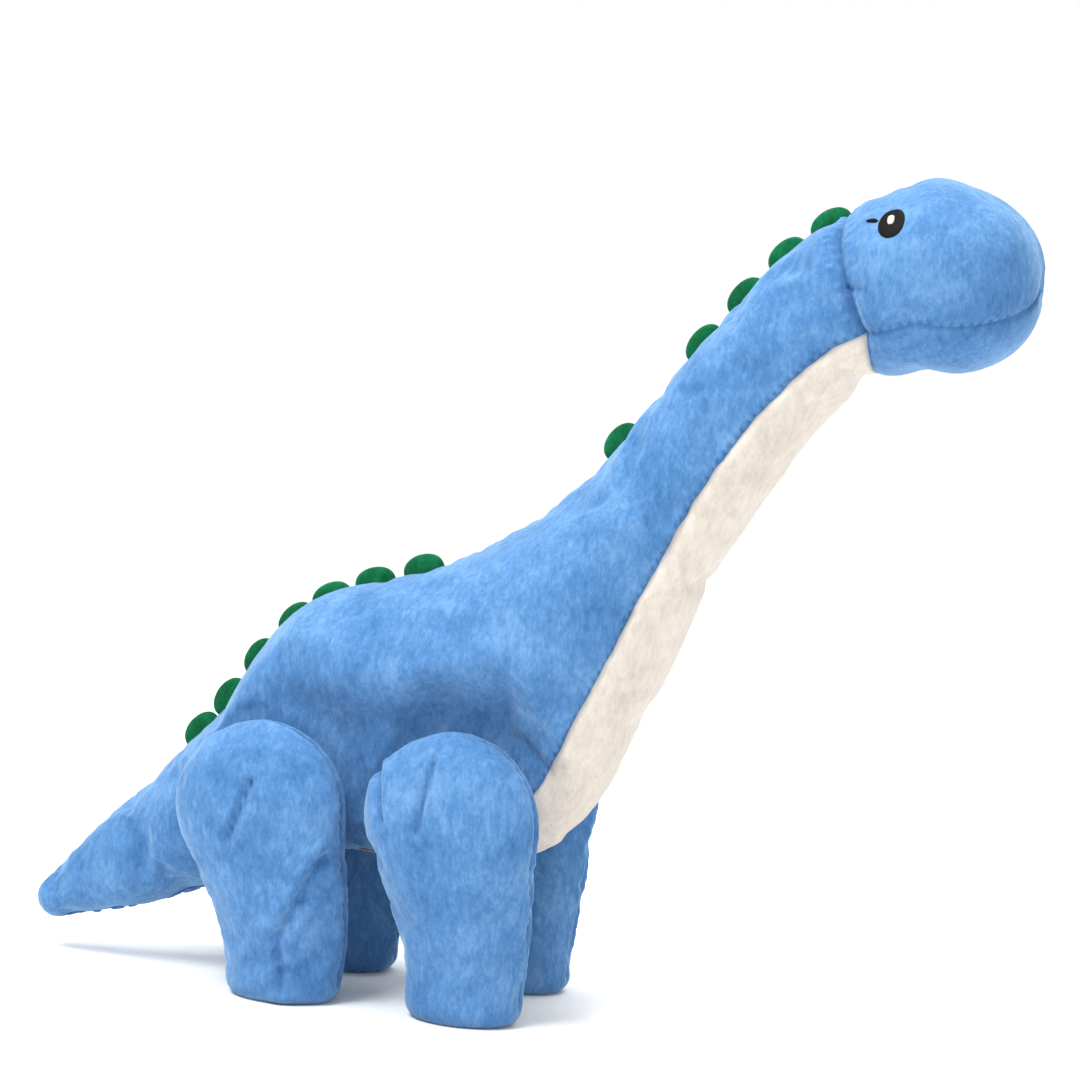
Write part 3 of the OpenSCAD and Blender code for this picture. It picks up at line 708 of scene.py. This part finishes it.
def thread(name, colour, pale, shine):
    """Embroidery thread: a fine grain and a low gloss. The strands are in the mesh."""
    material, tree, bsdf = shader(name)
    grain = noise_node(tree, 3000, detail=2).outputs["Fac"]
    ramp = tree.nodes.new("ShaderNodeValToRGB")
    ramp.color_ramp.elements[0].position = 0.3
    ramp.color_ramp.elements[0].color = (*colour, 1)
    ramp.color_ramp.elements[1].position = 0.75
    ramp.color_ramp.elements[1].color = (*pale, 1)
    tree.links.new(grain, ramp.inputs["Fac"])
    tree.links.new(ramp.outputs["Color"], bsdf.inputs["Base Color"])
    bsdf.inputs["Roughness"].default_value = shine
    bsdf.inputs["Specular IOR Level"].default_value = 0.12
    bump = tree.nodes.new("ShaderNodeBump")
    bump.inputs["Strength"].default_value = 0.4
    bump.inputs["Distance"].default_value = 0.15 * MM
    tree.links.new(grain, bump.inputs["Height"])
    tree.links.new(bump.outputs["Normal"], bsdf.inputs["Normal"])
    return material


blue = plush("blue_plush", (0.036, 0.125, 0.29), (0.072, 0.19, 0.4), (0.135, 0.28, 0.5),
             0.5, (0.62, 0.84, 1.0))
cream = plush("cream_plush", (0.5, 0.44, 0.38), (0.6, 0.54, 0.475), (0.68, 0.625, 0.56),
              0.2, (1.0, 0.97, 0.92), 0.3, 0.35)
green = plush("green_plush", (0.001, 0.05, 0.016), (0.002, 0.095, 0.033), (0.004, 0.15, 0.055),
              0.12, (0.3, 0.8, 0.5), 0.5, 0.5)
black_thread = thread("black_thread", (0.002, 0.0015, 0.0015), (0.008, 0.006, 0.006), 0.6)
white_thread = thread("white_thread", (0.62, 0.58, 0.54), (0.85, 0.82, 0.78), 0.5)

# ---------------------------------------------------------------- trunk pieces
RIGHT = (BELLY_RIGHT, BACK)
LEFT = (BACK, len(fine_vs))
UNDER = (BELLY_LEFT, BELLY_RIGHT)
PLUSH = {"blue_plush": blue, "cream_plush": cream}
# Two bodies, the place of the joint between them, and where the bend starts and ends from there
TAIL_BEND = ("tail", "torso", tail_root_u, -14 * MM, 26 * MM)
NECK_BEND = ("torso", "neck", neck_root_u, -34 * MM, 18 * MM)
HEAD_BEND = ("neck", "head", head_seam_u, -48 * MM, -16 * MM)


def skin_middle(u):
    """The middle of the trunk skin's row nearest to u."""
    return tuple(skin[int(np.abs(fine_us - u).argmin())].mean(0))


def trunk_piece(name, first, last, columns, slot, stands_for, bend=None):
    """A piece of the trunk skin between two named rows. With no bend it rides on the head; with a
    bend it only has its transform baked.
    """
    rows = (row_of[first], row_of[last])
    obj = sheet_of(name, skin, normals, rows, columns, PLUSH[slot], painted_shade)
    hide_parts(*stands_for)
    if bend is None:
        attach(obj, "head")
        return
    a, b, joint_u, before, after = bend
    skin_middle(joint_u + before)
    skin_middle(joint_u + after)
    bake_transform(obj)


for side, columns in (("right", RIGHT), ("left", LEFT)):
    trunk_piece(f"rear_{side}_skin", "tail_tip", "body_mid", columns,
                "blue_plush", [f"tail_{side}_panel"], TAIL_BEND)
    trunk_piece(f"front_{side}_skin", "body_mid", "neck_mid", columns,
                "blue_plush", [f"torso_{side}_panel"], NECK_BEND)
    trunk_piece(f"upper_neck_{side}_skin", "neck_mid", "head_seam", columns,
                "blue_plush", [f"neck_{side}_panel"], HEAD_BEND)
    trunk_piece(f"head_{side}_skin", "head_seam", "nose", columns,
                "blue_plush", [f"head_{side}_panel"])
trunk_piece("tail_under_skin", "tail_tip", "tail_root", UNDER,
            "blue_plush", ["tail_stuffing"], TAIL_BEND)
trunk_piece("rear_belly_skin", "tail_root", "body_mid", UNDER,
            "cream_plush", ["torso_stuffing"], TAIL_BEND)
trunk_piece("belly_skin", "body_mid", "neck_mid", UNDER,
            "cream_plush", ["belly_panel"], NECK_BEND)
trunk_piece("throat_skin", "neck_mid", "head_seam", UNDER,
            "cream_plush", ["throat_panel", "neck_stuffing"], HEAD_BEND)
trunk_piece("chin_skin", "head_seam", "nose", UNDER,
            "blue_plush", ["chin_panel", "head_stuffing"])

# ---------------------------------------------------------------- legs
for number, leg in enumerate(legs):
    us = steps([0, leg.surface.u[1], leg.surface.u[-1]], LEG_CELL)
    vs = leg.surface.vs([LEG_PARTS] * LEG_COLUMNS)
    half = len(vs) // 2
    before, after = sim_grids[number + 1], stuffed[number + 1]
    grid = refined(leg.surface, leg.us, leg.vs, after, before, us, vs)
    normal = normals_of(grid)
    push = np.zeros(grid.shape[:2])
    # This array holds painted shade: darker colour along the leg seams, darts and folds, where
    # shade falls in the creases.
    painted_shade = np.zeros(grid.shape[:2])
    above = np.clip((grid[:, :, 2] - 3 * MM) / (6 * MM), 0, 1)
    pucker = np.cos(2 * math.pi * grid[:, :, 2] / (5 * MM))
    for column in (0, half):
        far = from_column(grid, column)
        push -= 2.0 * MM * dent(far, 1.8 * MM) * above
        push += 0.4 * MM * pucker * dent(far, 3 * MM) * above
        painted_shade += 0.55 * dent(far, 0.9 * MM) * above
    hx, hz = leg.hip[0], leg.hip[2]
    outer = np.clip((np.abs(grid[:, :, 1]) - abs(leg.hip[1])) / (4 * MM), 0, 1)
    if leg.front:
        darts = [[(-31, 20), (-26, 0)], [(-5, 26), (-9, -2)]]
        folds = []
    else:
        darts = [[(2, 14), (-7, -12)]]
        folds = [[(33, -16), (22, -38), (14, -52), (17, -72)]]
    for line in darts:
        far = to_line(grid, [(hx + x * MM, hz + z * MM) for x, z in line])
        push -= 2.2 * MM * dent(far, 1.5 * MM) * outer
        push += 1.0 * MM * dent(far - 4 * MM, 2.4 * MM) * outer
        painted_shade += 0.6 * dent(far, 0.9 * MM) * outer
    for line in folds:
        far = to_line(grid, [(hx + x * MM, hz + z * MM) for x, z in line])
        push -= 1.9 * MM * dent(far, 2.2 * MM) * outer
        push += 1.3 * MM * dent(far - 5 * MM, 3 * MM) * outer
        painted_shade += 0.4 * dent(far, 1.0 * MM) * outer
        ripple = np.sin(2 * math.pi * grid[:, :, 2] / (8 * MM))
        push += 0.4 * MM * ripple * dent(far - 3 * MM, 5 * MM) * outer
    push += 0.5 * MM * rough(grid, 26 * MM, 5.3 + number) * above
    push += 0.12 * MM * rough(grid, 7 * MM, 17.9) * above
    push += 0.17 * MM * rough(grid, 1.9 * MM, 29.3) * above
    push *= np.clip((us[-1] - us) / (5 * MM), 0, 1)[:, None]
    grid = grid + push[:, :, None] * normal
    grid[:, :, 2] = np.maximum(grid[:, :, 2], 0.0)
    normal = normals_of(grid)
    sides = [(0, half), (half, 2 * half)]
    if leg.side > 0:
        sides.reverse()
    rows = (0, len(us) - 1)
    for part, columns in zip(("outer", "inner"), sides):
        name = f"{leg.name}_{part}_skin"
        piece = sheet_of(name, grid, normal, rows, columns, blue, painted_shade)
        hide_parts(f"{leg.name}_{part}_panel")
        if part == "inner":
            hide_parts(f"{leg.name}_stuffing")
        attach(piece, leg.name)

# ---------------------------------------------------------------- back spikes
for number in range(1, 13):
    node = f"spike_{number:02d}"
    body = "neck" if number <= 5 else "torso"
    points = points_of(node)[:, [0, 2]]
    middle = (points.max(0) + points.min(0)) / 2
    seam = skin[:, BACK][:, [0, 2]]
    near = int(np.linalg.norm(seam - middle, axis=1).argmin())
    run = seam[min(near + 6, len(seam) - 1)] - seam[near - 6]
    run = run / np.linalg.norm(run)
    rise = np.array([-run[1], run[0]])
    reach = (points @ run).max() - (points @ run).min()
    centre_run = ((points @ run).max() + (points @ run).min()) / 2
    foot = (points @ rise).min()
    height = SPIKE_HEIGHT * ((points @ rise).max() - foot)
    grid = []
    rows = 14
    turns = 40
    for i in range(rows + 1):
        s = i / rows
        ring = []
        for k in range(turns):
            a = 2 * math.pi * k / turns
            x = reach / 2 * math.cos(a)
            up = math.sin(a)
            z = height * up**0.8 if up > 0 else 5 * MM * up
            thick = 2.7 * MM * math.sqrt(max(0.0, 1 - s**2.6)) + 0.35 * MM
            ring.append((x * s, thick, z * s))
        grid.append(ring)
    grid = np.array(grid)
    back = grid[::-1].copy()
    back[:, :, 1] *= -1
    whole = np.concatenate([grid, back])
    whole[:, :, 1] += 0.25 * MM * rough(whole, 2.2 * MM, 31.0 + number)
    lean = 0.4 * MM * math.sin(number * 2.3)
    world = np.empty_like(whole)
    world[:, :, 0] = run[0] * (centre_run + whole[:, :, 0]) + rise[0] * (foot + whole[:, :, 2])
    world[:, :, 2] = run[1] * (centre_run + whole[:, :, 0]) + rise[1] * (foot + whole[:, :, 2])
    world[:, :, 1] = whole[:, :, 1] + lean * whole[:, :, 2] / height
    points3, faces = closed(world)
    spike = new_object(f"{node}_felt", points3, faces)
    spike.data.materials.append(green)
    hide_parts(node)
    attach(spike, body)

# ---------------------------------------------------------------- embroidered eyes
def on_skin(point, outward):
    """The place on the skin under a point, looking against outward, and the skin's normal."""
    hit, turn, _, _ = skin_tree.ray_cast(Vector(point + outward * 15 * MM), Vector(-outward))
    if hit is None:
        hit, turn, _, _ = skin_tree.find_nearest(Vector(point))
    return np.array(hit), np.array(turn)


def stitched_patch(node, length, width, rise, strands, taper, material, towards=None):
    """A patch of satin stitches lying on the head where the CAD node is, perhaps turned."""
    points = points_of(node)
    centre = points.mean(0)
    spread = points - centre
    out = np.array(skin_tree.find_nearest(Vector(centre))[1])
    side = 1 if centre[1] > 0 else -1
    out = out * (1 if out[1] * side > 0 else -1)
    longest = np.linalg.svd(spread, full_matrices=False)[2][0]
    longest = longest * (1 if longest[2] > 0 else -1)
    longest = longest - out * (longest @ out)
    longest = longest / np.linalg.norm(longest)
    if towards is not None:
        longest = towards - centre
        longest = longest - out * (longest @ out)
        longest = longest / np.linalg.norm(longest)
        centre = centre + longest * LASH_SHIFT
    across = np.cross(longest, out)
    rows = 72
    cols = 36
    grid = np.empty((rows + 1, cols + 1, 3))
    for i in range(rows + 1):
        t = 2 * i / rows - 1
        half = width / 2 * math.sqrt(max(0.0, 1 - abs(t) ** 2.15))
        for j in range(cols + 1):
            s = 2 * j / cols - 1
            x = half * s * (1 - taper * t)
            z = length / 2 * t
            place, turn = on_skin(centre + longest * z + across * x, out)
            strand = abs(math.sin(math.pi * strands * (t + 0.1 * s) / 2))
            dome = max(0.0, 1 - s**4) ** 0.5 * max(0.0, 1 - t**6) ** 0.5
            lift = rise * dome * (0.62 + 0.38 * strand) - 0.25 * MM * (1 - dome)
            grid[i, j] = place + turn * lift
    n, m = grid.shape[:2]
    k = np.arange(n * m).reshape(n, m)
    quads = np.stack([k[:-1, :-1], k[:-1, 1:], k[1:, 1:], k[1:, :-1]], 2).reshape(-1, 4)
    if side > 0:
        quads = quads[:, ::-1]
    faces = [tuple(int(i) for i in q) for q in quads]
    obj = new_object(f"{node}_stitches", grid.reshape(-1, 3), faces)
    obj.data.materials.append(material)
    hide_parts(node)
    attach(obj, "head")


for side in ("right", "left"):
    pupil = points_of(f"{side}_eye_pupil").mean(0)
    stitched_patch(f"{side}_eye_pupil", EYE_TALL, EYE_WIDE, 0.9 * MM, 30, 0,
                   black_thread)
    stitched_patch(f"{side}_eye_highlight", 0.34 * EYE_TALL, 0.31 * EYE_WIDE, 1.4 * MM, 9, 0,
                   white_thread)
    stitched_patch(f"{side}_eye_lash", 6.4 * MM, 2.0 * MM, 0.8 * MM, 13, -0.35,
                   black_thread, pupil)

# ---------------------------------------------------------------- studio
def bowl():
    """A pale floor that curves up into a round wall."""
    profile = [(0.8, 0.0), (1.8, 0.0)]
    for k in range(1, 13):
        a = math.pi / 2 * k / 12
        profile.append((1.8 + 1.2 * math.sin(a), 1.2 * (1 - math.cos(a))))
    profile.append((3.0, 3.2))
    turns = 96
    angles = [2 * math.pi * k / turns for k in range(turns)]
    grid = np.array([[(r * math.cos(a), r * math.sin(a), z) for a in angles] for r, z in profile])
    points = np.concatenate([[[0, 0, 0]], grid.reshape(-1, 3)])
    ring = 1 + np.arange(len(grid) * turns).reshape(len(grid), turns)
    after = np.roll(ring, -1, 1)
    faces = [(0, int(a), int(b)) for a, b in zip(ring[0], after[0])]
    quads = np.stack([ring[:-1], ring[1:], after[1:], after[:-1]], 2).reshape(-1, 4)
    faces += [tuple(int(i) for i in q) for q in quads]
    obj = new_object("studio_floor", points, faces)
    obj.location.z = -0.4 * MM
    return obj


floor = bowl()
paper, _, paper_bsdf = shader("studio_paper")
paper_bsdf.inputs["Base Color"].default_value = (0.9, 0.9, 0.9, 1)
paper_bsdf.inputs["Roughness"].default_value = 1.0
paper_bsdf.inputs["Specular IOR Level"].default_value = 0.0
floor.data.materials.append(paper)


def lamp(name, place, target, size, watts):
    data = bpy.data.lights.new(name, "AREA")
    data.shape = "DISK"
    data.size = size
    data.energy = watts
    obj = bpy.data.objects.new(name, data)
    bpy.context.scene.collection.objects.link(obj)
    obj.location = place
    obj.rotation_euler = (Vector(target) - Vector(place)).to_track_quat("-Z", "Y").to_euler()


lamp("key", (-0.5, -0.9, 1.6), (0, 0, 0.15), 0.8, 30)
lamp("top", (0.2, 0.3, 1.9), (0, 0, 0.2), 1.2, 26)
lamp("fill", (1.5, -1.2, 0.7), (0, 0, 0.15), 1.2, 3)
world = bpy.data.worlds.new("studio")
world.use_nodes = True
world.node_tree.nodes["Background"].inputs["Color"].default_value = (0.94, 0.97, 1.0, 1)
world.node_tree.nodes["Background"].inputs["Strength"].default_value = 0.8
bpy.context.scene.world = world
bpy.context.scene.view_settings.view_transform = "Standard"

# ---------------------------------------------------------------- camera
turn, rise, roll = math.radians(16), math.radians(4), math.radians(3.8)
target = Vector((9, 0, 199)) * MM
back = Vector((math.sin(turn) * math.cos(rise), -math.cos(turn) * math.cos(rise), math.sin(rise)))
level = Vector((math.cos(turn), math.sin(turn), 0))
upright = back.cross(level)
right = level * math.cos(roll) + upright * math.sin(roll)
up = upright * math.cos(roll) - level * math.sin(roll)
camera = bpy.data.objects.new("camera", bpy.data.cameras.new("camera"))
bpy.context.scene.collection.objects.link(camera)
place = target + back * 1.3
camera.matrix_world = Matrix((
    (right.x, up.x, back.x, place.x),
    (right.y, up.y, back.y, place.y),
    (right.z, up.z, back.z, place.z),
    (0, 0, 0, 1),
))
camera.data.sensor_width = 36
camera.data.lens = 102.7
camera.data.clip_end = 20
bpy.context.scene.camera = camera
